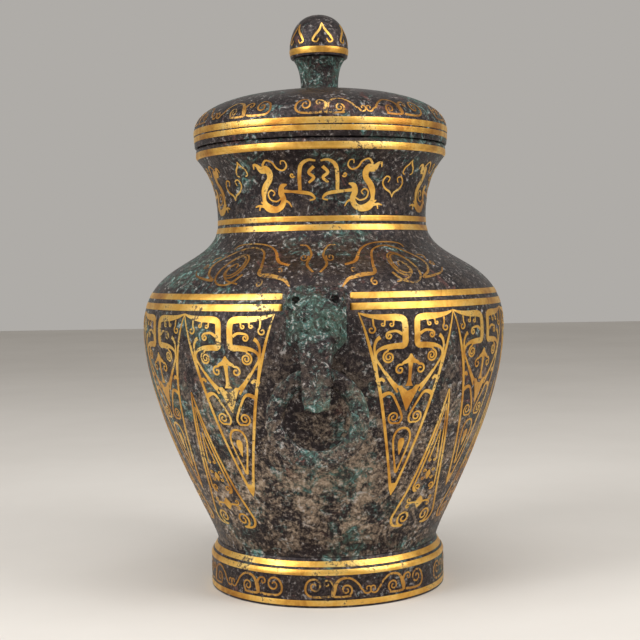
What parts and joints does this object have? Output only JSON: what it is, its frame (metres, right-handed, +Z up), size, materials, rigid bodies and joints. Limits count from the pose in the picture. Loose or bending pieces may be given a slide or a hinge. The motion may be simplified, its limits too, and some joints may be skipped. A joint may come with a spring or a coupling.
{
  "type": "lidded jar",
  "caption": "Lidded bronze jar with a round belly, ring foot, flared neck, knobbed lid, inlaid gold bands and animal masks holding loose rings.",
  "frame": {"origin": "centre of the foot ring's resting face", "axes": "+Z up along the jar's axis; the front mask and ring face -Y"},
  "size_m": [0.2028, 0.2306, 0.32],
  "materials": {
    "bronze": "dark purplish bronze with earth and patina",
    "patina": "bronze with green and grey patina",
    "gold": "worn gold inlay"
  },
  "bodies": {
    "vessel": {"vessel_body": "bronze", "foot_ring": "bronze", "foot_band_base": "gold", "foot_band_middle": "gold", "foot_band_upper": "gold", "neck_band_lower": "gold", "neck_band_upper": "gold", "rim_band": "gold", "shoulder_band_lower_left": "gold", "shoulder_band_lower_right": "gold", "shoulder_band_upper_left": "gold", "shoulder_band_upper_right": "gold", "mask_front": "patina", "mask_back": "patina"},
    "lid": {"lid_shell": "bronze", "lid_band_lower": "gold", "lid_band_upper": "gold", "knob_stem": "patina", "knob_cap": "bronze", "knob_band": "gold"},
    "ring_front": {"ring_front": "patina"},
    "ring_back": {"ring_back": "patina"}
  },
  "joints": [
    {"name": "lid_lift", "type": "slide", "parent": "vessel", "child": "lid", "axis": [0, 0, 1], "range_m": [0, 0.1]},
    {"name": "ring_front_swing", "type": "hinge", "parent": "vessel", "child": "ring_front", "pos_m": [0, -0.106, 0.1253], "axis": [-1, 0, 0], "range_deg": [-10, 90]},
    {"name": "ring_back_swing", "type": "hinge", "parent": "vessel", "child": "ring_back", "pos_m": [0, 0.106, 0.1253], "axis": [1, 0, 0], "range_deg": [-10, 90]}
  ]
}
